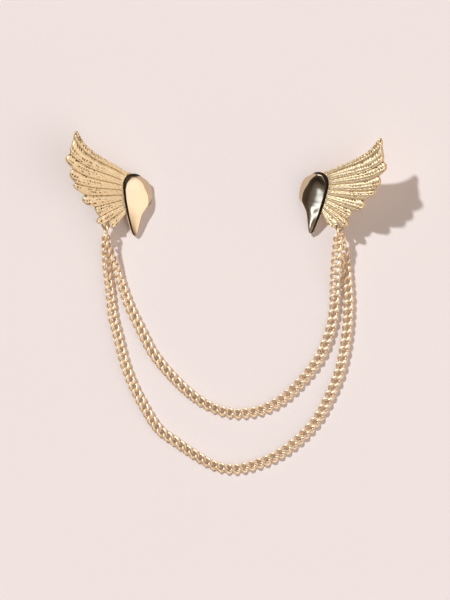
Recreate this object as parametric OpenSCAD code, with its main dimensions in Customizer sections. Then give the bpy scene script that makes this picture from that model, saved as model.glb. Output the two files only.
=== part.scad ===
// Lapel chain: two mirrored winged half-heart brooches joined by two curb chains.
// It lies on a table, face up. +Z is up, +Y runs from the chains' bend to the brooches,
// and the origin is on the table under the middle of the whole piece. Millimetres.

/* [Wing] */
// Reach of the wing from the heart to its outermost feather tip
wing_reach = 17.4; // [14:0.1:22]
// Height of the wing from its lowest corner to its top tip
wing_rise = 28; // [22:0.5:34]
// Thickness of the wing in the grooves between feathers
wing_thick = 0.9; // [0.7:0.05:1.4]
// Height of a feather's rib above the grooves
rib_height = 0.45; // [0.2:0.05:0.8]
// Height on the wing of the bottom end of its root, above the lowest corner
root_low = 3.6; // [2.5:0.1:4.5]
// How far that end lies inwards of the root's middle
root_in = 0.8; // [0:0.1:1.2]

/* [Heart] */
// Height of the half heart from its point to its top
heart_rise = 17.9; // [14:0.1:20]
// Width of the half heart
heart_width = 9.3; // [7:0.1:12]
// Depth of the half heart at its wall beside the wing
heart_depth = 1.4; // [1:0.1:2.4]
// Height of its crown above the top of the wall
heart_crown = 0.7; // [0.3:0.05:1]
// Depth of the rim under the sloping side facet
heart_rim = 0.5; // [0.3:0.05:0.9]
// How far its point lies below the wing's lowest corner
heart_hang = 3; // [1:0.1:5]

/* [Seat under the heart] */
// Thickness of the flat seat that carries the heart
seat_thick = 0.6; // [0.5:0.05:1]
// How far the seat stays back from the heart's outer edge, at most to the heart's middle
seat_inset = 1.6; // [0.8:0.1:2]
// How far above the heart's point the seat ends
seat_tail = 1.25; // [0.8:0.05:2]
// Clear line of glue between pieces that are stuck together
glue_gap = 0.1; // [0.1:0.02:0.2]

/* [Eyelet and jump ring] */
// Diameter of the eyelet's hole
eyelet_hole = 1.7; // [1.6:0.05:2.2]
// Width of metal round the hole
eyelet_wall = 0.5; // [0.4:0.05:0.8]
// Thickness of the eyelet
eyelet_thick = 0.7; // [0.5:0.05:0.8]
// Outer diameter of the jump ring
ring_outer = 3.3; // [3.2:0.05:3.6]
// Wire diameter of the jump ring
ring_wire = 0.6; // [0.5:0.05:0.7]

/* [Post and clutch] */
// Diameter of the post
post_d = 1; // [0.8:0.05:1.2]
// Diameter of the pad at the foot of the post
pad_d = 4; // [3:0.1:5]
// Thickness of that pad
pad_thick = 0.4; // [0.3:0.05:0.6]
// Length of the post's sharpened point
point_len = 1; // [0.6:0.1:1.5]
// Diameter of the clutch's flange
flange_d = 6; // [5:0.1:7]
// Thickness of the flange
flange_thick = 0.6; // [0.4:0.1:1]
// Diameter of the clutch's barrel
clutch_d = 4.8; // [4:0.1:5.5]
// Whole depth of the clutch
clutch_depth = 3.6; // [3:0.1:5]
// Room left for the lapel between the left brooch's pad and its clutch
lapel_gap = 0.8; // [0.5:0.1:1.2]
// How much less far the right brooch's clutch is pushed on
right_slack = 1.1; // [0.4:0.1:1.2]
// Clearance round the post in the clutch's bore
bore_clear = 0.1; // [0.1:0.02:0.2]
// How far the point stays inside the clutch's outer face
point_cover = 0.4; // [0.2:0.1:1]

/* [Curb chain] */
// Spacing of the links along the chain
link_pitch = 2.24; // [2.1:0.02:2.3]
// Outer width of a link
link_width = 3; // [2.9:0.05:3.2]
// Wire diameter of a link
link_wire = 0.6; // [0.56:0.02:0.62]
// Play between the wires of two links
link_play = 0.24; // [0.22:0.01:0.26]
// Twist of each end of a link out of its own plane, in degrees
link_twist = 48; // [46:1:55]

/* [How it lies] */
// Distance between the two brooches, from root to root
brooch_spread = 59; // [57:0.5:61]
// Lean of the left brooch, outer side up, in degrees
left_lean = 24; // [20:1:26]
// Lean of the right brooch, outer side up, in degrees
right_lean = 29; // [25:1:31]
// Lean of each brooch, top up, in degrees
lean_up = 10; // [6:1:13]
// Turn of the right brooch in the plane of the table, in degrees
right_turn = -8; // [-12:0.2:0]
// Slope of the jump rings down to the chains, in degrees
ring_drop = 12; // [10:1:15]
// Lean of the jump rings towards the middle, in degrees
ring_lean = 22; // [19:1:25]
// Angle on the ring from its lowest point to each chain, in degrees
hook_angle = 26.5; // [25:0.5:28]

/* [Hidden] */

gold = "#e3c189";
bright_gold = "#f3d9a8";
steel = "#cfc6b4";

left = -1;
right = 1;
// Where the roots of the two brooches stand: across from the middle, and up the photo
mid_x = -0.5;
brooch_y = 30.9;
// Shift that puts the origin under the middle of the whole piece
table_shift = [0.22, -0.27, 0];

// Feathers of the wing from the top down. Every column is a share: tip and notch across
// are of wing_reach, tip and notch up are of wing_rise above the lowest corner, and bow is
// of the feather's length, its sag two thirds of the way out. The notch is the one below
// the feather.
//   tip across, tip up, notch across, notch up, bow
feathers = [
    [0.833, 1.000, 0.862, 0.925, 0.080],
    [0.922, 0.820, 0.915, 0.777, 0.070],
    [1.000, 0.722, 0.875, 0.622, 0.055],
    [0.928, 0.553, 0.822, 0.472, 0.045],
    [0.855, 0.430, 0.664, 0.345, 0.030],
    [0.690, 0.268, 0.484, 0.216, 0.015],
    [0.474, 0.166, 0.400, 0.110, 0.000],
    [0.460, 0.055, 0.334, 0.028, -0.010],
    [0.170, 0.000, 0.092, 0.040, -0.020],
];
// Upper end of the first feather's edge, just behind the wing's tip, as the same shares
first_notch = [0.800, 0.985];
// Top end of the wing's root: up as a share of wing_rise, across as a share of wing_reach
root_top = [0.56, -0.05];
// Steps across each feather and along it
steps_across = 4;
steps_along = 4;
// Height of the wing at a feather's tip, as a share of its height at the root
tip_height = 0.8;

// Sections of the half heart from its point up. Height is a share of heart_rise, and the
// other columns are shares of heart_width, measured inwards from the wall's outermost place.
// Depth is a share of heart_depth.
//   height, wall, ridge, outer edge, depth
heart_rows = [
    [0.00, 0.410, 0.445, 0.480, 0.42],
    [0.06, 0.350, 0.470, 0.520, 0.60],
    [0.17, 0.285, 0.512, 0.582, 0.75],
    [0.33, 0.200, 0.590, 0.668, 0.90],
    [0.42, 0.163, 0.695, 0.787, 0.97],
    [0.49, 0.136, 0.787, 0.953, 1.00],
    [0.56, 0.110, 0.806, 1.000, 1.00],
    [0.66, 0.083, 0.783, 1.000, 1.00],
    [0.77, 0.058, 0.684, 0.964, 0.98],
    [0.86, 0.061, 0.609, 0.867, 0.93],
    [0.93, 0.115, 0.502, 0.695, 0.84],
    [0.975, 0.190, 0.405, 0.588, 0.70],
    [1.00, 0.297, 0.373, 0.459, 0.50],
];
// Reach of the heart past the root line towards the wing, as a share of heart_width
heart_shift = 0.05;
heart_bands = 16;
// Places across the heart's face from the wall to the ridge, as shares
face_places = [0, 0.12, 0.4, 0.7, 1];

// Depth of the wing's lowest corner under the origin of the brooch's own frame
wing_foot = 8.6;
// Clearance between the heart's wall and the root of the wing, and the part of it that the
// step down to the seat takes
root_clear = 0.25;
root_step = 0.1;
// Roundness of a rib across the feather and of its tip, as powers of a sine
rib_power = 0.7;
tip_power = 0.8;

// Where the post stands on the back of the wing, in the brooch's own frame
post_at = [5.2, 1.5];
// Bevel round the clutch's outer end, and the flat at the end of the post's point
end_bevel = 0.25;
point_flat = 0.2;
// Degrees between the places of the clutch's rim that are tried against the table
rim_step = 5;
// Clearance of the jump ring in its eyelet
ring_clear = 0.46;
// Centre of the eyelet, from the root line and above the wing's lowest corner
eyelet_at = [5.1, 0.6];

// Middle lines of the chains on the table, from the left brooch to the right one.
//   across, up the photo, roll of the links in degrees
outer_route = [
    [-34.7, 14.2, 54],
    [-34.2, 9.5, 42],
    [-33.5, 4.5, 30],
    [-32.6, -3.5, 16],
    [-31.2, -9, 14],
    [-29.1, -17.4, 14],
    [-25.6, -25.8, 10],
    [-20, -35.2, 2],
    [-14.9, -39.2, -6],
    [-8.9, -43.3, -13],
    [-3.8, -46.1, -18],
    [1.2, -47.2, -20],
    [6.2, -46.5, -18],
    [13.6, -43.7, -12],
    [20, -39.2, -7],
    [25.7, -33, -2],
    [29.7, -25.5, 3],
    [32.5, -18, 7],
    [34.2, -8.5, 10],
    [34.8, 0.3, 10],
    [34.6, 5, 8],
    [34.1, 9.5, 4],
    [33.4, 14.2, -2],
];
inner_route = [
    [-33, 14.2, 54],
    [-31.4, 9.5, 42],
    [-29.7, 4.5, 30],
    [-27.8, -0.8, 16],
    [-24.8, -7, 10],
    [-21.2, -14, 5],
    [-16.2, -20.2, -2],
    [-10.6, -25.6, -9],
    [-5.6, -28.9, -14],
    [0, -31, -18],
    [5.5, -31.2, -18],
    [11.2, -29.8, -14],
    [17, -26.3, -9],
    [22.8, -20.3, -3],
    [26.6, -15, 2],
    [29.2, -8.5, 7],
    [30.6, -2, 9],
    [30.8, 5, 7],
    [30.9, 9.5, 4],
    [31.3, 14.2, -2],
];
// Roll of the first and the last link, which hang in the jump rings
first_roll = 68;
last_roll = -8;
// Lift that keeps the sloping links above the table
bed_lift = 0.045;
// Radius of the bend in which a chain comes down from a ring to the table, and the steepest
// start of that bend, over which it would dip below the chain's bed
settle_radius = 42.3;
settle_limit = 3;
// Sides of a link round its oval and round its wire
link_sides = 10;
wire_sides = 5;
// Samples of a route between two of its points
route_steps = 12;

// Small vector helpers
function unit(v) = v / norm(v);
function mix(a, b, s) = a + (b - a) * s;
function flat(lists) = [for (l = lists) for (v = l) v];
function spread_of(n) = [for (i = [0:n]) i / n];

// Smooth curve through four rows of a table, between the middle two
function smooth(a, b, c, d, s) =
    0.5 * (2 * b + (c - a) * s + (2 * a - 5 * b + 4 * c - d) * s * s
    + (3 * b - a - 3 * c + d) * s * s * s);

// Row of a table at a place counted in rows, on the smooth curve through all rows
function row_at(rows, place) =
    let (last = len(rows) - 1, i = min(floor(place), last - 1), s = place - i)
    smooth(rows[max(i - 1, 0)], rows[i], rows[i + 1], rows[min(i + 2, last)], s);

// Turns and moves as matrices
function move_by(v) = [[1, 0, 0, v[0]], [0, 1, 0, v[1]], [0, 0, 1, v[2]], [0, 0, 0, 1]];
function turn_x(a) = [[1, 0, 0, 0], [0, cos(a), -sin(a), 0], [0, sin(a), cos(a), 0], [0, 0, 0, 1]];
function turn_y(a) = [[cos(a), 0, sin(a), 0], [0, 1, 0, 0], [-sin(a), 0, cos(a), 0], [0, 0, 0, 1]];
function turn_z(a) = [[cos(a), -sin(a), 0, 0], [sin(a), cos(a), 0, 0], [0, 0, 1, 0], [0, 0, 0, 1]];
function flip_x(side) = [[side, 0, 0, 0], [0, 1, 0, 0], [0, 0, 1, 0], [0, 0, 0, 1]];
function apply(m, p) = let (q = m * [p[0], p[1], p[2], 1]) [q[0], q[1], q[2]];

// The brooch lies in its own frame: the root line is x = 0, the wing is on +x, the heart on
// -x, the back is z = 0, and y = 0 is the height of the origin.
wing_bottom = -wing_foot;
heart_bottom = wing_bottom - heart_hang;
heart_base = seat_thick + glue_gap;

function wing_place(across, up) = [across * wing_reach, wing_bottom + up * wing_rise];

// Heart outlines in that frame
function heart_y(share) = heart_bottom + share * heart_rise;
function heart_x(share) = (heart_shift - share) * heart_width;
heart_bands_rows = [for (s = spread_of(heart_bands)) row_at(heart_rows, s * (len(heart_rows) - 1))];
heart_wall_curve = [for (r = heart_bands_rows) [heart_y(r[0]), heart_x(r[1])]];
function heart_wall_x(y) = lookup(y, heart_wall_curve);

// Height profile of the clutch and the post, down from the back of the wing
pad_top = -glue_gap;
pad_bottom = pad_top - pad_thick;
point_z = pad_bottom - lapel_gap - clutch_depth + point_cover;
function clutch_top(side) = pad_bottom - lapel_gap - (side == right ? right_slack : 0);
function clutch_bottom(side) = clutch_top(side) - clutch_depth;

// Height of the brooch's frame at which its lowest point touches the table
function tilt(side) = turn_x(lean_up) * turn_y(-(side == right ? right_lean : left_lean));
function seat_edge(r) =
    [min(heart_x(r[3]) + seat_inset, heart_x((r[1] + r[3]) / 2)),
     max(heart_y(r[0]), heart_bottom + seat_tail)];
function rim_places(side) = [for (a = [0:rim_step:359]) for (b = [0, end_bevel])
    let (r = clutch_d / 2 - end_bevel + b)
    [post_at[0] + r * cos(a), post_at[1] + r * sin(a), clutch_bottom(side) + b]];
seat_places = [for (r = heart_bands_rows) [seat_edge(r)[0], seat_edge(r)[1], 0]];
heart_places = [for (r = heart_bands_rows) [heart_x(r[3]), heart_y(r[0]), heart_base]];
function brooch_z(side) =
    -min([for (p = concat(rim_places(side), seat_places, heart_places)) apply(tilt(side), p)[2]]);

function brooch_frame(side) =
    move_by([mid_x + side * brooch_spread / 2, brooch_y, brooch_z(side)] + table_shift)
    * turn_z(side == right ? right_turn : 0) * flip_x(side) * tilt(side);

// Wing: one closed net over the feathers and the seat.
// Root of the wing at a share of its length from the top
root_high = [root_top[1] * wing_reach, wing_bottom + root_top[0] * wing_rise];
root_end = [-root_in, wing_bottom + root_low];
function root_place(share) =
    let (p = mix(root_high, root_end, share))
    [max(heart_wall_x(p[1]) + root_clear, p[0]), p[1]];

feather_count = len(feathers);
function notch_place(i) =
    i == 0 ? wing_place(first_notch[0], first_notch[1])
    : wing_place(feathers[i - 1][2], feathers[i - 1][3]);
function feather_bow(i) = feathers[min(max(i, 0), feather_count - 1)][4];

// Outer end of the line at place u, counted in feathers from the top
function outer_place(u) =
    let (i = min(floor(u), feather_count - 1), s = u - i, a = notch_place(i), b = notch_place(i + 1),
        tip = wing_place(feathers[i][0], feathers[i][1]))
    mix(a, b, s) + (tip - mix(a, b, 0.5)) * pow(sin(180 * s), tip_power);

// Factor that makes the greatest sag of a feather its bow
bow_peak = 27 / 4;
function wing_point(u, v) =
    let (a = root_place(u / feather_count), b = outer_place(u), d = b - a,
        i = floor(u), bow = mix(feather_bow(i), feather_bow(i + 1), u - i),
        sag = bow_peak * v * v * (1 - v) * bow)
    a + d * v + sag * [d[1], -d[0]];

function rib(u) = pow(abs(sin(180 * u)), rib_power);
function wing_height(u, v) = (wing_thick + rib_height * rib(u)) * mix(1, tip_height, v * v);

// Inner end of the same line, on the seat's edge under the heart
seat_ends = [for (i = [len(heart_rows) - 1:-1:0]) seat_edge(heart_rows[i])];
function seat_end(u) = row_at(seat_ends, u / feather_count * (len(seat_ends) - 1));
function wall_place(u) = root_place(u / feather_count) - [root_step, 0];

wing_lines = spread_of(feather_count * steps_across) * feather_count;
wing_columns = [for (u = wing_lines) concat(
    [for (p = [seat_end(u), wall_place(u)]) [p[0], p[1], seat_thick]],
    [for (v = spread_of(steps_along)) let (p = wing_point(u, v)) [p[0], p[1], wing_height(u, v)]])];
column_len = len(wing_columns[0]);
column_count = len(wing_columns);

module wing_net() {
    top = flat(wing_columns);
    n = len(top);
    m = column_len;
    // Outline of the net, once round
    rim = concat([for (j = [0:m - 1]) j],
        [for (i = [1:column_count - 1]) i * m + m - 1],
        [for (j = [m - 2:-1:0]) (column_count - 1) * m + j],
        [for (i = [column_count - 2:-1:1]) i * m]);
    k = len(rim);
    base = [for (i = rim) [top[i][0], top[i][1], 0]];
    skin = [for (i = [0:column_count - 2]) for (j = [0:m - 2])
        let (a = i * m + j, b = a + 1, c = a + m, d = c + 1)
        each [[a, b, d], [a, d, c]]];
    sides = [for (i = [0:k - 1]) let (j = (i + 1) % k)
        each [[rim[j], rim[i], n + i], [rim[j], n + i, n + j]]];
    back = [[for (i = [k - 1:-1:0]) n + i]];
    polyhedron(concat(top, base), concat(skin, sides, back));
}

module eyelet_disc(d) {
    translate([eyelet_at[0], wing_bottom + eyelet_at[1], 0])
        cylinder(d = d, h = eyelet_thick, $fn = 48);
}

module wing(side) {
    color(gold) multmatrix(brooch_frame(side)) difference() {
        union() {
            wing_net();
            eyelet_disc(eyelet_hole + 2 * eyelet_wall);
        }
        translate([eyelet_at[0], wing_bottom + eyelet_at[1], -eyelet_thick])
            cylinder(d = eyelet_hole, h = 3 * eyelet_thick, $fn = 48);
    }
}

// Half heart: a polished dome with one sloping side facet, seated on the wing's flat seat.
function heart_section(r) =
    let (y = heart_y(r[0]), wall = heart_x(r[1]), ridge = heart_x(r[2]), edge = heart_x(r[3]),
        top = heart_base + heart_depth * r[4], rim = heart_base + heart_rim * r[4])
    concat([[wall, y, heart_base]],
        [for (t = face_places) [mix(wall, ridge, t), y, top + heart_crown * r[4] * sin(90 * t)]],
        [[edge, y, rim], [edge, y, heart_base]]);

heart_sections = [for (r = heart_bands_rows) heart_section(r)];

module heart(side) {
    m = len(heart_sections[0]);
    last = heart_bands * m;
    skin = [for (i = [0:heart_bands - 1]) for (j = [0:m - 1])
        let (a = i * m + j, b = i * m + (j + 1) % m, c = a + m, d = b + m)
        each [[a, b, d], [a, d, c]]];
    ends = [[for (j = [m - 1:-1:0]) j], [for (j = [0:m - 1]) last + j]];
    color(bright_gold) multmatrix(brooch_frame(side))
        polyhedron(flat(heart_sections), concat(skin, ends));
}

// Post: a flat pad glued to the back of the wing, with a sharpened pin.
module post(side) {
    profile = [[0, pad_top], [pad_d / 2, pad_top], [pad_d / 2, pad_bottom], [post_d / 2, pad_bottom],
        [post_d / 2, point_z + point_len], [point_flat / 2, point_z], [0, point_z]];
    color(gold) multmatrix(brooch_frame(side)) translate([post_at[0], post_at[1], 0])
        rotate_extrude($fn = 48) polygon(profile);
}

// Clutch: a plain turned cap with a flange, pushed onto the post.
module clutch(side) {
    bore = post_d / 2 + bore_clear;
    top = clutch_top(side);
    bottom = clutch_bottom(side);
    profile = [[bore, top], [flange_d / 2, top], [flange_d / 2, top - flange_thick],
        [clutch_d / 2, top - flange_thick], [clutch_d / 2, bottom + end_bevel],
        [clutch_d / 2 - end_bevel, bottom], [bore, bottom]];
    color(steel) multmatrix(brooch_frame(side)) translate([post_at[0], post_at[1], 0])
        rotate_extrude($fn = 64) polygon(profile);
}

// Jump ring: it hangs in the eyelet and carries both chains on its lower arc.
ring_r = (ring_outer - ring_wire) / 2;
pull = [0, -cos(ring_drop), -sin(ring_drop)];
ring_seat = eyelet_hole / 2 - ring_wire / 2 - ring_clear;

function eyelet_middle(side) =
    apply(brooch_frame(side), [eyelet_at[0], wing_bottom + eyelet_at[1], eyelet_thick / 2]);
function ring_middle(side) = eyelet_middle(side) + pull * (ring_seat + ring_r);
function ring_across(side) =
    let (t = [-side * sin(ring_lean), 0, cos(ring_lean)]) unit(t - (t * pull) * pull);
function hook_place(side, angle) =
    ring_middle(side) + ring_r * (pull * cos(angle) + ring_across(side) * sin(angle));

module jump_ring(side) {
    c = ring_middle(side);
    t = ring_across(side);
    n = cross(pull, t);
    frame = [[pull[0], t[0], n[0], c[0]], [pull[1], t[1], n[1], c[1]], [pull[2], t[2], n[2], c[2]],
        [0, 0, 0, 1]];
    color(gold) multmatrix(frame) rotate_extrude($fn = 96)
        translate([ring_r, 0]) circle(d = ring_wire, $fn = 48);
}

// Curb chain: twisted oval links, each through the next, laid along a route.
link_half = (link_pitch + link_play + link_wire) / 2;
link_radius = (link_width - link_wire) / 2;
// An end link leans a little from the ring's pull towards the ring's radius, and so it
// stands a little further on for the same clearance
way_share = 0.6;
hook_reach = link_half - ((link_wire + ring_wire) / 2 + link_play) / cos(hook_angle * (1 - way_share));

// Middle line of a link's wire at angle a round its oval
function oval(a) =
    let (w = link_twist * cos(a), r = link_radius * sin(a))
    [link_half * cos(a), r * cos(w), r * sin(w)];

// One ring of points round the wire there
function wire_ring(a) =
    let (p = oval(a), t = unit(oval(a + 1) - oval(a - 1)), out = unit(p - (p * t) * t),
        up = cross(t, out))
    [for (k = [0:wire_sides - 1]) let (b = 360 * k / wire_sides)
        p - link_wire / 2 * (out * cos(b) + up * sin(b))];

link_points = flat([for (i = [0:link_sides - 1]) wire_ring(360 * i / link_sides)]);
link_count = len(link_points);
link_faces = [for (i = [0:link_sides - 1]) for (k = [0:wire_sides - 1])
    let (a = i * wire_sides + k, b = i * wire_sides + (k + 1) % wire_sides,
        c = (a + wire_sides) % link_count, d = (b + wire_sides) % link_count)
    each [[a, b, d], [a, d, c]]];

// Lowest reach of a link under its middle when it is rolled about the chain
function link_reach(roll) =
    max([for (p = link_points) -(p[1] * sin(roll) + p[2] * cos(roll))]);

// Direction of an end link away from its ring, and the middle of the link counted n along it
function hook_way(side, angle) =
    pull * cos(angle * way_share) + ring_across(side) * sin(angle * way_share);
function end_place(side, angle, n) =
    hook_place(side, angle) + hook_way(side, angle) * (hook_reach + n * link_pitch);

// Middle line of a chain seen from above, with its ends in the rings: across, up, roll
function plan_route(route, angle) = concat(
    [for (n = [0, 1]) let (p = end_place(left, angle, n)) [p[0], p[1], first_roll]],
    [for (r = route) [r[0] + table_shift[0], r[1] + table_shift[1], r[2]]],
    [for (n = [1, 0]) let (p = end_place(right, angle, n)) [p[0], p[1], last_roll]]);

// Length along a list of points up to each of them, by its first n columns
function gap_of(a, b, n) = norm([for (k = [0:n - 1]) b[k] - a[k]]);
function run_lengths(points, n) =
    [for (i = 0, s = 0; i < len(points);
        s = s + (i + 1 < len(points) ? gap_of(points[i], points[i + 1], n) : 0), i = i + 1) s];

// How a chain comes down from a ring: its height above its bed there, its slope and its run
function descent(side, angle, roll) =
    let (drop = end_place(side, angle, 0)[2] - link_reach(roll), way = hook_way(side, angle))
    [drop, -way[2] / norm([way[0], way[1]]), sqrt(2 * settle_radius * drop)];

// Height above its bed at a length s from the ring
function settle(fall, s) =
    let (t = min(s / fall[2], 1), k = min(fall[1] * fall[2] / fall[0], settle_limit))
    fall[0] * pow(1 - t, 2) * (1 + (2 - k) * t);

// Fine samples of a chain's middle line: across, up, height, roll
function samples(route, angle) =
    let (rows = plan_route(route, angle), n = (len(rows) - 1) * route_steps,
        plan = [for (i = [0:n]) row_at(rows, i / route_steps)],
        s = run_lengths(plan, 2), whole = s[n],
        start = descent(left, angle, first_roll), end = descent(right, angle, last_roll))
    [for (i = [0:n]) let (r = plan[i])
        [r[0], r[1],
         link_reach(r[2]) + bed_lift + settle(start, s[i]) + settle(end, whole - s[i]), r[2]]];

function place_of(r) = [r[0], r[1], r[2]];

// Row of the route at a length along it
function along(tables, s) = [for (t = tables) lookup(s, t)];

function link_at(tables, s, total) =
    let (r = along(tables, s), p = place_of(r),
        d = unit(place_of(along(tables, min(s + link_half, total)))
            - place_of(along(tables, max(s - link_half, 0)))),
        side = unit(cross(d, [0, 0, 1])), up = cross(side, d),
        y = side * cos(r[3]) + up * sin(r[3]), z = up * cos(r[3]) - side * sin(r[3]))
    [for (q = link_points) p + d * q[0] + y * q[1] + z * q[2]];

module chain(route, angle) {
    points = samples(route, angle);
    lengths = run_lengths(points, 3);
    total = lengths[len(lengths) - 1];
    tables = [for (k = [0:3]) [for (i = [0:len(points) - 1]) [lengths[i], points[i][k]]]];
    steps = ceil(total / link_pitch);
    color(gold) polyhedron(
        flat([for (i = [0:steps]) link_at(tables, total * i / steps, total)]),
        [for (i = [0:steps]) for (f = link_faces) f + [1, 1, 1] * i * link_count]);
}

wing(left);  // left_wing
wing(right);  // right_wing
heart(left);  // left_heart
heart(right);  // right_heart
post(left);  // left_post
post(right);  // right_post
clutch(left);  // left_clutch
clutch(right);  // right_clutch
jump_ring(left);  // left_ring
jump_ring(right);  // right_ring
chain(inner_route, hook_angle);  // chain_inner
chain(outer_route, -hook_angle);  // chain_outer
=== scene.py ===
import math

import bmesh
import bpy
import numpy as np
from mathutils import Matrix, Vector


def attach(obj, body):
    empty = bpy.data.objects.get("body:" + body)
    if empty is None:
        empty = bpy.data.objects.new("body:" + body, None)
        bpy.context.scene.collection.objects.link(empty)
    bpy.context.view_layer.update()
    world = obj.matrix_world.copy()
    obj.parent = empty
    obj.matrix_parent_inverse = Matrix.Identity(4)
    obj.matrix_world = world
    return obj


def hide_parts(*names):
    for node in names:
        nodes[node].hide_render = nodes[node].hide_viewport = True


# Lapel chain: two winged half hearts joined by two curb chains, lying face up.
# Metres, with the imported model's own origin: on the table, under the middle of the piece.
# Each piece's own dictionary is in millimetres and degrees.
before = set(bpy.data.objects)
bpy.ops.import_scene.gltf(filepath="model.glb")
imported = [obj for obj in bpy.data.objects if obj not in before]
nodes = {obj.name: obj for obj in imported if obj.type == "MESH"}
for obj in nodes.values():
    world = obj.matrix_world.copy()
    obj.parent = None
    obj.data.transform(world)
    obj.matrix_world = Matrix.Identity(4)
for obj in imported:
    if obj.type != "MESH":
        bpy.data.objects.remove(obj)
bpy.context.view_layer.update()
mm = 0.001
sides = {"left": -1, "right": 1}
print("frame loaded:", len(nodes), "nodes")


# Shader maths: a socket that takes part in Python expressions
class Sock:
    def __init__(self, tree, link):
        self.tree, self.link = tree, link

    def math(self, kind, *others):
        node = self.tree.nodes.new("ShaderNodeMath")
        node.operation = kind
        for i, value in enumerate((self, *others)):
            plug(self.tree, node.inputs[i], value)
        return Sock(self.tree, node.outputs[0])

    def __add__(self, other): return self.math("ADD", other)
    def __radd__(self, other): return self.math("ADD", other)
    def __sub__(self, other): return self.math("SUBTRACT", other)
    def __rsub__(self, other): return (self * -1).math("ADD", other)
    def __mul__(self, other): return self.math("MULTIPLY", other)
    def __rmul__(self, other): return self.math("MULTIPLY", other)
    def __pow__(self, other): return self.math("POWER", other)
    def above(self, low): return self.math("MAXIMUM", low)
    def below(self, high): return self.math("MINIMUM", high)


def plug(tree, socket, value):
    if isinstance(value, Sock):
        tree.links.new(value.link, socket)
    else:
        socket.default_value = value


class Shader:
    def __init__(self, owner, main):
        owner.use_nodes = True
        self.owner, self.tree = owner, owner.node_tree
        self.main = self.tree.nodes[main]

    # Any node: its type, its settings, which output is wanted, and its inputs by name or in order
    def node(self, kind, settings=None, out=0, order=(), **inputs):
        node = self.tree.nodes.new("ShaderNode" + kind)
        for key, value in (settings or {}).items():
            setattr(node, key, value)
        for i, value in enumerate(order):
            plug(self.tree, node.inputs[i], value)
        for key, value in inputs.items():
            plug(self.tree, node.inputs[key.replace("_", " ")], value)
        return Sock(self.tree, node.outputs[out])

    # Two colours: a colour mix has its factor at input 0, the colours at 6 and 7, the result at 2
    def mix(self, share, low, high):
        node = self.tree.nodes.new("ShaderNodeMix")
        node.data_type = "RGBA"
        plug(self.tree, node.inputs[0], share)
        plug(self.tree, node.inputs[6], (*low, 1) if isinstance(low, tuple) else low)
        plug(self.tree, node.inputs[7], (*high, 1) if isinstance(high, tuple) else high)
        return Sock(self.tree, node.outputs[2])

    def set(self, **inputs):
        for key, value in inputs.items():
            value = (*value, 1) if isinstance(value, tuple) and len(value) == 3 else value
            plug(self.tree, self.main.inputs[key.replace("_", " ")], value)
        return self.owner


def newMaterial(name):
    return Shader(bpy.data.materials.new(name), "Principled BSDF")


# Satin champagne gold of the wings, with painted shade and highlight after the relief: brown in the pits,
# warm in the grooves, light on the beads
wingGold = dict(pit=(0.46, 0.33, 0.19), low=(0.93, 0.745, 0.485), high=(0.92, 0.77, 0.53), pitFade=0.6,
                metal=0.9, rough=0.51, cloudRough=0.16, grainRough=0.12, grainTone=1.4,
                grainScale=2600.0, cloudScale=260.0, bump=0.5, bumpDepth=0.00006)


def makeWingGold():
    s, look = newMaterial("wingGold"), wingGold
    place = s.node("TexCoord", out="Object")
    height = s.node("Attribute", {"attribute_name": "relief"}, out="Fac")
    grain = s.node("TexNoise", Vector=place, Scale=look["grainScale"], Detail=3.0)
    cloud = s.node("TexNoise", Vector=place, Scale=look["cloudScale"], Detail=2.0)
    # Colour follows the relief tone, with random grain: painted shade in pits, grooves and at the outer
    # edge, painted highlight on beads and tip knobs
    tone = height + (grain - 0.5) * look["grainTone"]
    colour = s.mix((tone * 2).above(0.0).below(1.0) ** look["pitFade"], look["pit"], look["low"])
    colour = s.mix((tone * 2 - 1).above(0.0), colour, look["high"])
    rough = look["rough"] + (cloud - 0.5) * look["cloudRough"] + (grain - 0.5) * look["grainRough"]
    bump = s.node("Bump", Strength=look["bump"], Distance=look["bumpDepth"], Height=grain)
    return s.set(Base_Color=colour, Metallic=look["metal"], Normal=bump, Roughness=rough)


# Polished light gold of the half hearts, with painted shade: mixed towards near-black on the wall and
# rounded edge beside the wing and on the top end, and a little on the outer facet
heartGold = dict(colour=(0.87, 0.68, 0.47), dull=(0.83, 0.64, 0.43), paintedDark=(0.045, 0.03, 0.02),
                 rough=0.05, cloudRough=0.04, paintedShadeRough=0.55, cloudScale=170.0, waveScale=420.0,
                 bump=0.05, bumpDepth=0.00004)


def makeHeartGold():
    s, look = newMaterial("heartGold"), heartGold
    place = s.node("TexCoord", out="Object")
    paintedShade = s.node("Attribute", {"attribute_name": "paintedShade"}, out="Fac")
    cloud = s.node("TexNoise", Vector=place, Scale=look["cloudScale"], Detail=2.0)
    wave = s.node("TexNoise", Vector=place, Scale=look["waveScale"], Detail=1.0)
    colour = s.mix(cloud, look["dull"], look["colour"])
    rough = look["rough"] + cloud * look["cloudRough"] + paintedShade ** 2 * look["paintedShadeRough"]
    bump = s.node("Bump", Strength=look["bump"], Distance=look["bumpDepth"], Height=wave)
    # Base colour goes towards near-black by the painted shade mask, standing in for shade and dark
    # reflections
    return s.set(Base_Color=s.mix(paintedShade, colour, look["paintedDark"]), Metallic=1.0, Normal=bump, Roughness=rough)


# Bright satin gold of links and rings, darker where it is worn
chainGold = dict(colour=(0.98, 0.83, 0.62), worn=(0.84, 0.64, 0.43), rough=0.5, wearRough=0.2,
                 wearScale=900.0, fineScale=5200.0, bump=0.15, bumpDepth=0.00003)


def makeChainGold():
    s, look = newMaterial("chainGold"), chainGold
    place = s.node("TexCoord", out="Object")
    wear = s.node("TexNoise", Vector=place, Scale=look["wearScale"], Detail=2.0)
    fine = s.node("TexNoise", Vector=place, Scale=look["fineScale"], Detail=1.0)
    bump = s.node("Bump", Strength=look["bump"], Distance=look["bumpDepth"], Height=fine)
    return s.set(Base_Color=s.mix(wear, look["worn"], look["colour"]), Metallic=1.0, Normal=bump,
                 Roughness=look["rough"] + (wear - 0.5) * look["wearRough"])


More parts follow.
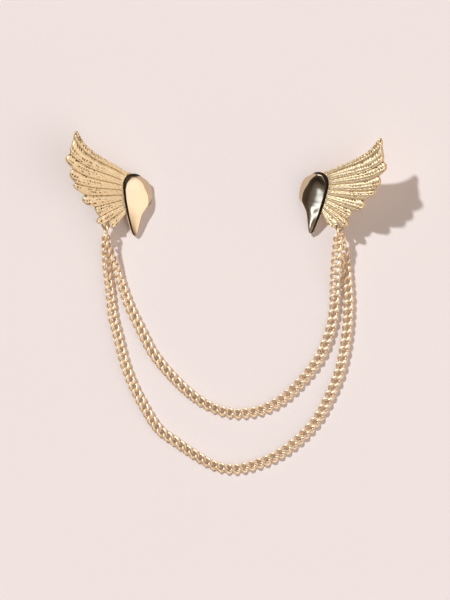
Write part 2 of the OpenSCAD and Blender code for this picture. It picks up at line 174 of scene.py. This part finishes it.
# Plain gold of the posts and clutches on the back, with a fine grain
fittingGold = dict(colour=(0.82, 0.68, 0.46), shade=0.8, rough=0.34, grainRough=0.14,
                   grainScale=3800.0, toneScale=380.0, bump=0.2, bumpDepth=0.00004)


def makeFittingGold():
    s, look = newMaterial("fittingGold"), fittingGold
    place = s.node("TexCoord", out="Object")
    grain = s.node("TexNoise", Vector=place, Scale=look["grainScale"], Detail=2.0)
    tone = s.node("TexNoise", Vector=place, Scale=look["toneScale"], Detail=2.0)
    low = tuple(look["shade"] * c for c in look["colour"])
    bump = s.node("Bump", Strength=look["bump"], Distance=look["bumpDepth"], Height=grain)
    return s.set(Base_Color=s.mix(tone, low, look["colour"]), Metallic=1.0, Normal=bump,
                 Roughness=look["rough"] + (grain - 0.5) * look["grainRough"])


materials = {"wing": makeWingGold(), "heart": makeHeartGold(), "chain": makeChainGold(),
             "fitting": makeFittingGold()}
print("materials made")


# Smooth curve through the rows of a table, at places counted in rows
def smoothRows(rows, place):
    rows, place = np.asarray(rows, float), np.asarray(place, float)
    last = len(rows) - 1
    i = np.minimum(np.floor(place).astype(int), last - 1)
    s = (place - i)[..., None]
    a, b, c, d = rows[np.maximum(i - 1, 0)], rows[i], rows[i + 1], rows[np.minimum(i + 2, last)]
    return 0.5 * (2 * b + (c - a) * s + (2 * a - 5 * b + 4 * c - d) * s ** 2
                  + (3 * b - a - 3 * c + d) * s ** 3)


# Share of the way from one value to another, from 0 to 1
def ramp(x, start, end):
    return np.clip((x - start) / (end - start), 0, 1)


# The lower of two heights, with the corner between them rounded
def softLow(a, b, soft):
    near = np.clip(1 - np.abs(a - b) / soft, 0, None)
    return np.minimum(a, b) - near ** 2 * soft / 4


# Mesh object; edges that turn by more than the sharp angle stay sharp
def makePiece(name, points, faces, material, sharp=40):
    mesh = bpy.data.meshes.new(name)
    mesh.from_pydata([tuple(p) for p in points], [], [tuple(f) for f in faces])
    mesh.validate()
    piece = bpy.data.objects.new(name, mesh)
    bpy.context.scene.collection.objects.link(piece)
    mesh.materials.append(materials[material])
    mesh.shade_smooth()
    mesh.set_sharp_from_angle(angle=math.radians(sharp))
    return piece


# One number between 0 and 1 for each point, which the material reads
def addValues(piece, name, values):
    layer = piece.data.attributes.new(name, "FLOAT", "POINT")
    layer.data.foreach_set("value", np.clip(values, 0, 1).astype(np.float32))


# Faces of a grid of points: closed joins its last column to the first, looped its last row
def gridFaces(rows, columns, closed=False, looped=False):
    return [(i * columns + j, i * columns + (j + 1) % columns,
             (i + 1) % rows * columns + (j + 1) % columns, (i + 1) % rows * columns + j)
            for i in range(rows if looped else rows - 1)
            for j in range(columns if closed else columns - 1)]


# Faces of a row of closed sections, with a flat end on the first and on the last
def cappedFaces(rows, columns):
    ends = [[*range(columns - 1, -1, -1)], [(rows - 1) * columns + j for j in range(columns)]]
    return gridFaces(rows, columns, closed=True) + ends


# Points in a brooch's own plane, moved to where the brooch lies
def putDown(points, place):
    return (points.reshape(-1, 3) @ place[:3, :3].T + place[:3, 3]) * mm


# Half heart in the brooch's own plane, with the wall beside the wing at x = 0.
# shape, as shares of its rise and width: height, wall, ridge, outer edge, depth.
# rolls: how wide the rounded edge beside the wing is, by height; it gets painted shade. foot: a small
# ledge low on the wall. The two painted shade values of the outer facet and the top: how much painted
# shade the outer facet gets, and between which heights the top gets it.
heart = dict(
    rise=17.9, width=9.3, depth=1.4, crown=0.7, rim=0.5, bottom=-11.6, shift=0.05, base=0.7,
    seat=0.6, seatInset=1.6, seatTail=1.25, ridgeSoft=0.2, edgeSoft=0.16, edgeMost=0.4,
    rollMost=0.9, rollDrop=0.9, rollDeep=0.65, rollSteps=9, paintedShadeSoft=0.3,
    foot=0.28, footHigh=(0.1, 0.14), footTop=(0.36, 0.32), footEnd=0.03,
    facetPaintedShade=0.25, facetSoft=0.1, topPaintedShade=(0.945, 0.97), rows=120, steps=30, skip=6, sharp=38,
    shape=[
        (0.00, 0.410, 0.445, 0.480, 0.42),
        (0.06, 0.350, 0.470, 0.520, 0.60),
        (0.17, 0.285, 0.512, 0.582, 0.75),
        (0.33, 0.200, 0.590, 0.668, 0.90),
        (0.42, 0.163, 0.695, 0.787, 0.97),
        (0.49, 0.136, 0.787, 0.953, 1.00),
        (0.56, 0.110, 0.806, 1.000, 1.00),
        (0.66, 0.083, 0.783, 1.000, 1.00),
        (0.77, 0.058, 0.684, 0.964, 0.98),
        (0.86, 0.061, 0.609, 0.867, 0.93),
        (0.93, 0.115, 0.502, 0.695, 0.84),
        (0.975, 0.190, 0.405, 0.588, 0.70),
        (1.00, 0.297, 0.373, 0.459, 0.50)],
    rolls=[(0.0, 0.1), (0.1, 0.12), (0.6, 0.12), (0.76, 0.24), (0.86, 0.7), (0.94, 1.3), (1.0, 1.4)])

heartRows = smoothRows(heart["shape"], np.linspace(0, len(heart["shape"]) - 1, heart["rows"]))


def heartX(share):
    return (heart["shift"] - share) * heart["width"]


def heartY(share):
    return heart["bottom"] + share * heart["rise"]


# Sections from the wall over the face and the outer facet; each point has its share of painted shade, a
# near-black colour standing in for shade and dark reflections
def heartSections():
    rollAt, rollWide = np.array(heart["rolls"]).T
    quarter = np.linspace(np.pi / 2, 0, heart["rollSteps"])
    bend = np.radians([30, 60, 90])
    base, rows, paintedShade = heart["base"], [], []
    for height, wall, ridge, outer, deep in heartRows:
        y, xWall, xRidge, xOuter = heartY(height), heartX(wall), heartX(ridge), heartX(outer)
        top = base + heart["depth"] * deep
        crest = top + heart["crown"] * deep
        rim = base + heart["rim"] * deep
        roll = min(np.interp(height, rollAt, rollWide), heart["rollMost"] * (xWall - xRidge))
        edge = min(heart["edgeSoft"], heart["edgeMost"] * (xRidge - xOuter))
        rolled = xWall - roll * (1 - np.sin(quarter))
        face = np.linspace(xWall - roll, xRidge, heart["steps"])[1:-heart["skip"]]
        facet = np.linspace(face[-1], xOuter + edge, heart["steps"])[1:]
        x = np.concatenate([rolled, face, facet])
        onFace = top + heart["crown"] * deep * np.sin(np.pi / 2 * ramp(x, xWall, xRidge))
        onFacet = crest + (rim - crest) * (xRidge - x) / (xRidge - xOuter)
        z = softLow(onFace, onFacet, heart["ridgeSoft"])
        z[:len(quarter)] -= heart["rollDrop"] * min(roll, heart["rollDeep"] * deep) * (1 - np.cos(quarter))
        x = np.concatenate([x, xOuter + edge - edge * np.sin(bend)])
        z = np.concatenate([z, z[-1] - edge * (1 - np.cos(bend))])
        ledge = xWall + heart["foot"] * ramp(height, *heart["footTop"]) * ramp(height, 0, heart["footEnd"])
        ledgeTop, ledgeEnd = (base + h for h in heart["footHigh"])
        low = [(ledge, base), (ledge, ledgeTop), (xWall, ledgeEnd)]
        rows.append([(a, y, b) for a, b in [*low, *zip(x, z), (xOuter, base)]])
        # Painted shade: full on the rounded edge beside the wing and on the top end, a quarter on the
        # outer facet
        over = ramp(height, *heart["topPaintedShade"])
        paintedDark = np.clip((roll - (xWall - x)) / (heart["paintedShadeSoft"] * roll), 0, 1)
        beyond = ramp(x, xRidge + heart["facetSoft"], xRidge - heart["facetSoft"])
        paintedDark = np.maximum(paintedDark, beyond * heart["facetPaintedShade"])
        paintedShade.append([0, 0, 1, *np.maximum(paintedDark, over), over])
    return np.array(rows), np.array(paintedShade)


def heartPiece(name, place, flip):
    rows, paintedShade = heartSections()
    faces = [f if flip else f[::-1] for f in cappedFaces(*rows.shape[:2])]
    piece = makePiece(name, putDown(rows, place), faces, "heart", sharp=heart["sharp"])
    addValues(piece, "paintedShade", paintedShade.reshape(-1))
    return piece


# Wing: feathers fan out from the root beside the heart.
# feathers, as shares of its reach and rise: tip across, tip up, notch across, notch up, bow.
# tipRound: how pointed the first feather's end is, and that of the others
wing = dict(
    reach=17.4, rise=28.0, bottom=-8.6, thick=0.9, tip=0.8, tipRound=(0.55, 0.8),
    rib=0.45, ribRound=0.7, ribFlat=0.7, ribShare=0.45, ribFrom=0.12,
    brim=0.45, brimFrom=0.965, side=0.35, sideWide=0.18, sharp=50,
    rootLow=3.6, rootIn=0.8, rootTop=(-0.05, 0.56), rootClear=0.25, rootStep=0.1,
    firstNotch=(0.775, 0.982), across=26, along=180,
    eyelet=(5.1, -8.0), hole=1.7, holeSides=64, holeDeep=8,
    eyeletWall=0.5, eyeletThick=0.7, eyeletSoft=0.12, eyeletSides=72,
    feathers=[
        (0.833, 1.000, 0.862, 0.925, 0.080),
        (0.922, 0.820, 0.915, 0.777, 0.070),
        (1.000, 0.722, 0.875, 0.622, 0.055),
        (0.928, 0.553, 0.822, 0.472, 0.045),
        (0.855, 0.430, 0.664, 0.345, 0.030),
        (0.690, 0.268, 0.484, 0.216, 0.015),
        (0.474, 0.166, 0.400, 0.110, 0.000),
        (0.460, 0.055, 0.334, 0.028, -0.010),
        (0.170, 0.000, 0.092, 0.040, -0.020)])

# Relief cast into the feathers: grooves between them, three rows of long beads on each, uneven
# pits that deepen towards the tips, a round bead on each tip, and faint hammer marks all over.
# tone and after: the colour value of a flat place, what the relief adds to it as painted shade and
# highlight, the values of the seat and the back, and how much painted shade darkens the outer edge
relief = dict(
    seed=5, groove=0.09, grooveWidth=0.09, calm=0.07,
    rows=3, bead=(0.12, 0.15), beadGrow=1.5, beadSpacing=0.7, beadSize=(0.35, 1.0), beadRound=(0.8, 0.7),
    beadGap=0.3, drift=0.4, driftWaves=(1.7, 9, 0.6), mostBeads=60,
    pit=0.75, pitSize=0.21, pitSpacing=0.8, pitRows=(0.03, 0.35, 0.65), pitSpan=(0.3, 0.95), pitGrow=0.8,
    pitStrength=(0.45, 0.75), stray=0.13, mostPits=40,
    tip=0.3, tipSize=0.45, tipAt=0.95, hammer=0.04, hammerWaves=[(9.2, 5.3, 2.4), (5.7, -10.1, 4.1)],
    tone=0.37, toneGain=2.6, seatTone=0.4, backTone=0.3, edgePaintedShade=0.8, edgeSpan=(0.985, 0.995))

featherCount = len(wing["feathers"])
wallCurve = np.array([(heartY(r[0]), heartX(r[1])) for r in heartRows])


# Places on the wing: u counts feathers from the top, v goes from the root to the outer edge
def featherAt(u):
    return np.minimum(np.floor(u).astype(int), featherCount - 1)


def wingPlace(across, up):
    return np.array([across * wing["reach"], wing["bottom"] + up * wing["rise"]])


def rootPlace(u):
    top = wingPlace(*wing["rootTop"])
    low = np.array([-wing["rootIn"], wing["bottom"] + wing["rootLow"]])
    p = top + (low - top) * (u / featherCount)[..., None]
    x = np.maximum(np.interp(p[..., 1], wallCurve[:, 0], wallCurve[:, 1]) + wing["rootClear"], p[..., 0])
    return np.stack([x, p[..., 1]], -1)


def outerPlace(u):
    notches = np.array([wingPlace(*wing["firstNotch"]), *(wingPlace(*f[2:4]) for f in wing["feathers"])])
    tips = np.array([wingPlace(*f[:2]) for f in wing["feathers"]])
    i = featherAt(u)
    s = (u - i)[..., None]
    a, b = notches[i], notches[i + 1]
    swell = np.sin(np.pi * s) ** np.where(i < 1, *wing["tipRound"])[..., None]
    return a + (b - a) * s + (tips[i] - (a + b) / 2) * swell


def wingGrid(u, v):
    a, b = rootPlace(u)[:, None], outerPlace(u)[:, None]
    bows = np.array([f[4] for f in wing["feathers"]])
    i = featherAt(u)
    bow = (bows[i] + (bows[np.minimum(i + 1, featherCount - 1)] - bows[i]) * (u - i))[:, None]
    d = b - a
    sag = (27 / 4 * v ** 2 * (1 - v))[None] * bow  # the full bow is reached two thirds of the way out
    return a + d * v[None, :, None] + sag[..., None] * np.stack([d[..., 1], -d[..., 0]], -1)


def wingRelief(u, v):
    dice = np.random.default_rng(relief["seed"])
    i = featherAt(u)
    f, feather, v = (u - i)[:, None], i[:, None], v[None]
    ends = np.arange(featherCount + 1.0)
    middle = ends[:-1] + 0.5
    reach = np.linalg.norm(outerPlace(middle) - rootPlace(middle), axis=-1)[feather]
    rootWide, tipWide = (np.linalg.norm(np.diff(line(ends), axis=0), axis=-1)[feather]
                         for line in (rootPlace, outerPlace))
    wide = rootWide + (tipWide - rootWide) * v
    s, aside = reach * v, f * wide
    groove = np.exp(-(np.minimum(f, 1 - f) * wide / relief["grooveWidth"]) ** 2) * relief["groove"]

    # Rows of beads, drifting in length and size
    row = np.minimum(np.floor(f * relief["rows"]).astype(int), relief["rows"] - 1)
    start = dice.uniform(0, 1, (featherCount, relief["rows"]))[feather, row]
    fast, shift, slow = relief["driftWaves"]
    step = s / relief["beadSpacing"] + start
    step = step + relief["drift"] * np.sin(fast * s + shift * start) * np.sin(slow * s + feather)
    size = dice.uniform(*relief["beadSize"], (featherCount, relief["rows"], relief["mostBeads"]))
    size = size[feather, row, np.floor(step).astype(int)]
    roundAcross, roundAlong = relief["beadRound"]
    across = np.abs(np.sin(np.pi * f * relief["rows"])) ** roundAcross
    gap = relief["beadGap"]
    along = gap + (1 - gap) * np.abs(np.sin(np.pi * step)) ** roundAlong * size
    low, high = relief["bead"]
    bead = (low + (high - low) * v ** relief["beadGrow"]) * across * along

    # Lines of uneven pits
    deep = ramp(v, *relief["pitSpan"]) ** relief["pitGrow"]
    spacing, (usual, spread) = relief["pitSpacing"], relief["pitStrength"]
    pits = np.zeros_like(s)
    for k, line in enumerate(relief["pitRows"]):
        start = dice.uniform(0, spacing, featherCount)[feather]
        off = (s + start + 0.5 * k * spacing) / spacing
        number = np.floor(off).astype(int)
        pick = dice.uniform(-1, 1, (3, featherCount, relief["mostPits"]))[:, feather, number]
        strength = np.clip(usual + spread * pick[0], 0, 1)
        near = (off - number - 0.5 + relief["stray"] * pick[1]) * spacing
        beside = (f - line) * wide + relief["stray"] * pick[2]
        pits = np.maximum(pits, strength * np.exp(-(near ** 2 + beside ** 2) / relief["pitSize"] ** 2))

    # Round tips, hammer marks, and the sum of it all
    fromTip = (reach * (v - relief["tipAt"])) ** 2 + ((f - 0.5) * wide) ** 2
    knob = np.sqrt(np.clip(1 - fromTip / relief["tipSize"] ** 2, 0, 1))
    hollow = pits * deep * relief["pit"] * (1 - np.clip(2 * knob, 0, 1))
    hammer = relief["hammer"]
    for a, b, c in relief["hammerWaves"]:
        hammer = hammer * np.sin(a * s + b * aside + c * feather)
    return (bead - groove - hollow + hammer) * ramp(v, 0, relief["calm"]) + knob * relief["tip"]


def wingHeight(u, v):
    flat, v = wing["ribFlat"], v[None]
    rib = np.abs(np.sin(np.pi * (u - featherAt(u))))[:, None] ** wing["ribRound"]
    rib = flat + (rib - flat) * wing["ribShare"] * ramp(v, 0, wing["ribFrom"])
    body = (wing["thick"] + wing["rib"] * rib) * (1 + (wing["tip"] - 1) * v ** 2)
    brim = ramp(v, wing["brimFrom"], 1) ** 2 * wing["brim"]
    ends = np.minimum(u, featherCount - u)[:, None]
    side = ramp(ends, wing["sideWide"], 0) ** 2 * wing["side"]
    return body * (1 - np.maximum(brim, side)) + wingRelief(u, v[0])


# Edge of the seat under the heart, from the heart's top to its tail
def seatEdge(row):
    height, wall, _, outer, _ = row
    x = min(heartX(outer) + heart["seatInset"], heartX((wall + outer) / 2))
    return x, max(heartY(height), heart["bottom"] + heart["seatTail"])


# Seat, root and feathers as one closed solid with a flat back
def wingPiece(name, place, flip):
    u = np.linspace(0, featherCount, featherCount * wing["across"] + 1)
    v = np.linspace(0, 1, wing["along"])
    seatPlace = u / featherCount * (len(heart["shape"]) - 1)
    seat = smoothRows([seatEdge(r) for r in heart["shape"][::-1]], seatPlace)
    root = rootPlace(u) - [wing["rootStep"], 0]
    low = np.full((len(u), 1), heart["seat"])
    seat, root = (np.concatenate([line, low], 1)[:, None] for line in (seat, root))
    feathers = np.concatenate([wingGrid(u, v), wingHeight(u, v)[..., None]], -1)
    top = np.concatenate([seat, root, feathers], 1)
    n, m = top.shape[:2]
    points = top.reshape(-1, 3)
    rim = [*range(m), *(i * m + m - 1 for i in range(1, n))]
    rim += [*((n - 1) * m + j for j in range(m - 2, -1, -1)), *(i * m for i in range(n - 2, 0, -1))]
    k, first = len(rim), len(points)
    faces = gridFaces(n, m)
    faces += [(rim[j], rim[i], first + i, first + j) for i, j in zip(range(k), [*range(1, k), 0])]
    faces += [[first + i for i in range(k - 1, -1, -1)]]
    faces = [f if flip else f[::-1] for f in faces]
    every = np.concatenate([points, points[rim] * [1, 1, 0]])
    piece = makePiece(name, putDown(every, place), faces, "wing", sharp=wing["sharp"])
    # Painted shade and highlight: the colour value rises on beads and tip knobs and falls in pits and
    # grooves, and the outer edge is darkened
    tone = relief["tone"] + relief["toneGain"] * wingRelief(u, v)
    tone = tone * (1 - relief["edgePaintedShade"] * ramp(v, *relief["edgeSpan"]))
    tone = np.concatenate([np.full((n, 2), relief["seatTone"]), tone], 1).reshape(-1)
    addValues(piece, "relief", np.concatenate([tone, np.full(k, relief["backTone"])]))
    return piece


# Flat eyelet below the wing's root: a rounded section turned about the hole
def eyeletPiece(name, place, flip):
    r, h, soft = wing["hole"] / 2, wing["eyeletThick"], wing["eyeletSoft"]
    wide = r + wing["eyeletWall"]
    section = np.array([(r, soft), (r, h - soft), (r + soft, h), (wide - soft, h), (wide, h - soft),
                        (wide, soft), (wide - soft, 0), (r + soft, 0)])[:, None]
    a = np.linspace(0, 2 * np.pi, wing["eyeletSides"], endpoint=False)
    x, y = wing["eyelet"]
    points = np.stack([x + section[..., 0] * np.cos(a), y + section[..., 0] * np.sin(a),
                       section[..., 1] + 0 * a], -1)
    faces = gridFaces(*points.shape[:2], closed=True, looped=True)
    return makePiece(name, putDown(points, place), [f if flip else f[::-1] for f in faces], "wing")


# Opens the eyelet's hole where the wing lies over it
def cutHole(piece, place):
    bm = bmesh.new()
    radius = wing["hole"] / 2 * mm
    bmesh.ops.create_cone(bm, cap_ends=True, segments=wing["holeSides"], radius1=radius,
                          radius2=radius, depth=wing["holeDeep"] * mm)
    tool = bpy.data.objects.new("holeTool", bpy.data.meshes.new("holeTool"))
    bm.to_mesh(tool.data)
    bm.free()
    bpy.context.scene.collection.objects.link(tool)
    centre = place @ np.array([*wing["eyelet"], 0, 1])
    tool.matrix_world = Matrix([[*place[i, :3], centre[i] * mm] for i in range(3)] + [[0, 0, 0, 1]])
    cut = piece.modifiers.new("hole", "BOOLEAN")
    cut.operation, cut.solver, cut.object = "DIFFERENCE", "EXACT", tool
    bpy.context.view_layer.update()
    made = bpy.data.meshes.new_from_object(piece.evaluated_get(bpy.context.evaluated_depsgraph_get()))
    piece.modifiers.clear()
    piece.data = made
    bpy.data.objects.remove(tool)


# Place of each brooch: lean of its outer side, lean of its top, turn on the table, and the height
# at which its root line stands
brooch = dict(spread=59.0, middle=(-0.28, 30.63), leanUp=10.0,
              lean={"left": 24.0, "right": 29.0}, turn={"left": 0.0, "right": -8.0},
              stand={"left": 3.269, "right": 3.94})


def broochPlace(side):
    lean, turn = math.radians(brooch["lean"][side]), math.radians(brooch["turn"][side])
    x = brooch["middle"][0] + sides[side] * brooch["spread"] / 2
    place = Matrix.Translation((x, brooch["middle"][1], brooch["stand"][side]))
    place = place @ Matrix.Rotation(turn, 4, "Z") @ Matrix.Diagonal((sides[side], 1, 1, 1))
    place = place @ Matrix.Rotation(math.radians(brooch["leanUp"]), 4, "X")
    return np.array(place @ Matrix.Rotation(-lean, 4, "Y"))


for side, sign in sides.items():
    place = broochPlace(side)
    piece = wingPiece(side + "Wing", place, sign > 0)
    cutHole(piece, place)
    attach(piece, "root")
    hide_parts(side + "_wing")
    eyelet = eyeletPiece(side + "Eyelet", place, sign < 0)
    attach(eyelet, "root")
    half = heartPiece(side + "HalfHeart", place, sign < 0)
    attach(half, "root")
    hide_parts(side + "_heart")
print("brooches made")


# Curb link: a twisted oval of slightly flattened wire, worn low on its high sides.
# wide: the wire's width at the ends and on the sides, where it grows inwards. point: how pointed
# the oval's ends are. flat: the height at which the high sides are worn off, and how abruptly
link = dict(pitch=2.24, play=0.24, width=3.14, wire=0.6, wide=(0.62, 0.98), high=0.66, twist=48.0,
            point=0.34, flat=(0.66, 6), around=44, wireSides=12, sharp=60)


def linkMesh():
    half, radius = (link["pitch"] + link["play"] + link["wire"]) / 2, (link["width"] - link["wire"]) / 2

    def oval(a):
        w = math.radians(link["twist"]) * np.cos(a)
        y = radius * np.sin(a) * (np.sin(a) ** 2) ** link["point"]
        return np.stack([half * np.cos(a), y * np.cos(w), y * np.sin(w)], -1)

    a = np.linspace(0, 2 * np.pi, link["around"], endpoint=False)
    p = oval(a)
    t = oval(a + 0.01) - oval(a - 0.01)
    t /= np.linalg.norm(t, axis=1)[:, None]
    out = p - (p * t).sum(1)[:, None] * t
    out /= np.linalg.norm(out, axis=1)[:, None]
    up = np.cross(t, out)
    b = np.linspace(0, 2 * np.pi, link["wireSides"], endpoint=False)[None, :, None]
    end, side = link["wide"]
    wide = (end + (side - end) * np.sin(a) ** 2)[:, None, None]
    points = p[:, None] + out[:, None] * ((np.cos(b) - 1) * wide + link["wire"]) / 2
    points = points + up[:, None] * np.sin(b) * link["high"] / 2
    most, power = link["flat"]
    points[..., 2] /= (1 + (points[..., 2] / most) ** power) ** (1 / power)
    return points.reshape(-1, 3), gridFaces(*points.shape[:2], closed=True, looped=True)


# Middle and axes of every loose solid of a node: long, wide and thin way
def solidPlaces(name, weld=1e-7):
    bm = bmesh.new()
    bm.from_mesh(nodes[name].data)
    bm.transform(nodes[name].matrix_world)
    bmesh.ops.remove_doubles(bm, verts=bm.verts, dist=weld)
    seen, places = set(), []
    for start in bm.verts:
        if start in seen:
            continue
        seen.add(start)
        group, todo = [], [start]
        while todo:
            vert = todo.pop()
            group.append(vert.co[:])
            for edge in vert.link_edges:
                other = edge.other_vert(vert)
                if other not in seen:
                    seen.add(other)
                    todo.append(other)
        co = np.array(group)
        middle = co.mean(0)
        axes = np.linalg.svd(co - middle)[2]
        axes[2] = np.cross(axes[0], axes[1])
        places.append((middle, axes))
    bm.free()
    return places


def chainPiece(name, node):
    shape, faces = linkMesh()
    places = solidPlaces(node)
    points = np.concatenate([shape * mm @ axes + middle for middle, axes in places])
    every = [tuple(i + k * len(shape) for i in f) for k in range(len(places)) for f in faces]
    piece = makePiece(name, points, every, "chain", sharp=link["sharp"])
    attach(piece, "root")
    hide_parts(node)
    print(name, "with", len(places), "links")


chainPiece("innerChain", "chain_inner")
chainPiece("outerChain", "chain_outer")

# Jump ring: round wire with a fine split
jumpRing = dict(outer=3.3, wire=0.7, split=3.0, splitAt=35, around=96, wireSides=20)


def ringPiece(name, node):
    co = np.array([nodes[node].matrix_world @ v.co for v in nodes[node].data.vertices])
    middle = (co.min(0) + co.max(0)) / 2
    axes = np.linalg.svd(co - co.mean(0), full_matrices=False)[2]
    axes[2] = np.cross(axes[0], axes[1])
    gap, at = math.radians(jumpRing["split"]) / 2, math.radians(jumpRing["splitAt"])
    a = np.linspace(gap, 2 * np.pi - gap, jumpRing["around"])[:, None] + at
    b = np.linspace(0, 2 * np.pi, jumpRing["wireSides"], endpoint=False)[None]
    r = (jumpRing["outer"] - jumpRing["wire"]) / 2 + jumpRing["wire"] / 2 * np.cos(b)
    points = np.stack([r * np.cos(a), r * np.sin(a), jumpRing["wire"] / 2 * np.sin(b) + 0 * a], -1)
    faces = [f[::-1] for f in cappedFaces(*points.shape[:2])]
    piece = makePiece(name, points.reshape(-1, 3) * mm @ axes + middle, faces, "chain")
    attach(piece, "root")
    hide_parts(node)


for side in sides:
    ringPiece(side + "Ring", side + "_ring")
    for part in ("_post", "_clutch"):
        for slot in nodes[side + part].material_slots:
            slot.material = materials["fitting"]
print("rings and fittings made")

# Table, in metres, and light. Every direction is the azimuth and elevation that light comes from.
# glows: direction with how narrow it is, power, and how cool its light is. shade: a dim part of the
# room, and how dim. strips: soft boxes, as direction with half sizes, and power
studio = dict(
    floor=(0.88, 0.787, 0.756), floorDim=0.985, floorSize=1.6, floorScale=22.0, floorRough=0.9,
    sunFrom=(135.0, 44.0), sun=2.55, sunSoft=3.2, sunColour=(0.94, 1.0, 1.06),
    fill=(1.0, 0.86, 0.74), cool=(0.78, 0.98, 1.28), fillPower=0.455, even=0.47,
    glows=[((-20, 62, 18), 1.5, 0.35), ((-65, 50, 12), 0.8, 0), ((-18, 34, 4), 1.0, 0.03),
           ((-18, 6, 4), 2.6, 0)],
    shade=((184, 46, 10), 0.9),
    strips=[((205, 45, 0.1, 0.055), 5.2), ((221, 46, 0.15, 0.055), 4.8), ((207, 45, 0.3, 0.16), 0.42)],
    stripSoft=1.2)

floorMesh = bpy.data.meshes.new("table")
half = studio["floorSize"] / 2
corners = [(-half, -half, 0), (half, -half, 0), (half, half, 0), (-half, half, 0)]
floorMesh.from_pydata(corners, [], [(0, 1, 2, 3)])
floor = bpy.data.objects.new("table", floorMesh)
bpy.context.scene.collection.objects.link(floor)
paper = newMaterial("palePaper")
tone = paper.node("TexNoise", Vector=paper.node("TexCoord", out="Object"), Scale=studio["floorScale"],
                  Detail=2.0)
dim = tuple(studio["floorDim"] * c for c in studio["floor"])
paper.set(Base_Color=paper.mix(tone, dim, studio["floor"]), Roughness=studio["floorRough"])
floorMesh.materials.append(paper.owner)


def direction(azimuth, elevation):
    a, e = math.radians(azimuth), math.radians(elevation)
    return Vector((math.cos(a) * math.cos(e), math.sin(a) * math.cos(e), math.sin(e)))


sun = bpy.data.objects.new("key", bpy.data.lights.new("key", "SUN"))
sun.data.energy, sun.data.angle = studio["sun"], math.radians(studio["sunSoft"])
sun.data.color = studio["sunColour"]
sun.rotation_mode = "QUATERNION"
sun.rotation_quaternion = direction(*studio["sunFrom"]).to_track_quat("Z", "Y")
bpy.context.scene.collection.objects.link(sun)

# Room round the table: an even warm fill, a brighter cooler side on the right, soft strips on the left
room = bpy.data.worlds.new("room")
bpy.context.scene.world = room
air = Shader(room, "Background")
way = air.node("TexCoord", out="Generated")


def along(axis):
    return air.node("VectorMath", {"operation": "DOT_PRODUCT"}, out="Value", order=(way, axis))


def lobe(azimuth, elevation, power):
    return along(direction(azimuth, elevation)).above(0.0) ** power


# A soft box: its middle, and its half sizes along and across the horizon as sines
def softBox(azimuth, elevation, wide, high):
    middle, level = direction(azimuth, elevation), direction(azimuth + 90, 0)
    off = along(level / wide) ** 2 + along(middle.cross(level) / high) ** 2
    return (1.0 - off).above(0.0) ** studio["stripSoft"] * lobe(azimuth, elevation, 1)


glow, cool = studio["even"], 0.0
for spot, power, share in studio["glows"]:
    light = lobe(*spot)
    glow = light * power + glow
    cool = light * share + cool
spot, power = studio["shade"]
glow = glow * (1.0 - lobe(*spot) * power)
strip = sum(softBox(*box) * power for box, power in studio["strips"])
air.set(Color=air.mix((strip + cool).below(1.0), studio["fill"], studio["cool"]),
        Strength=(glow + strip) * studio["fillPower"])

# Camera straight above, with a long lens: its distance in metres, the height and the middle of what
# it sees in millimetres
view =dict(away=2.0, high=171.6, middle=(-0.35, 0.87), sensor=36.0, clip=10.0)

camera = bpy.data.objects.new("camera", bpy.data.cameras.new("camera"))
camera.location = (view["middle"][0] * mm, view["middle"][1] * mm, view["away"])
camera.data.sensor_width = view["sensor"]
camera.data.lens = view["sensor"] * view["away"] / (view["high"] * mm)
camera.data.clip_end = view["clip"]
bpy.context.scene.collection.objects.link(camera)
bpy.context.scene.camera = camera
bpy.context.scene.view_settings.view_transform = "Standard"
print("studio made")
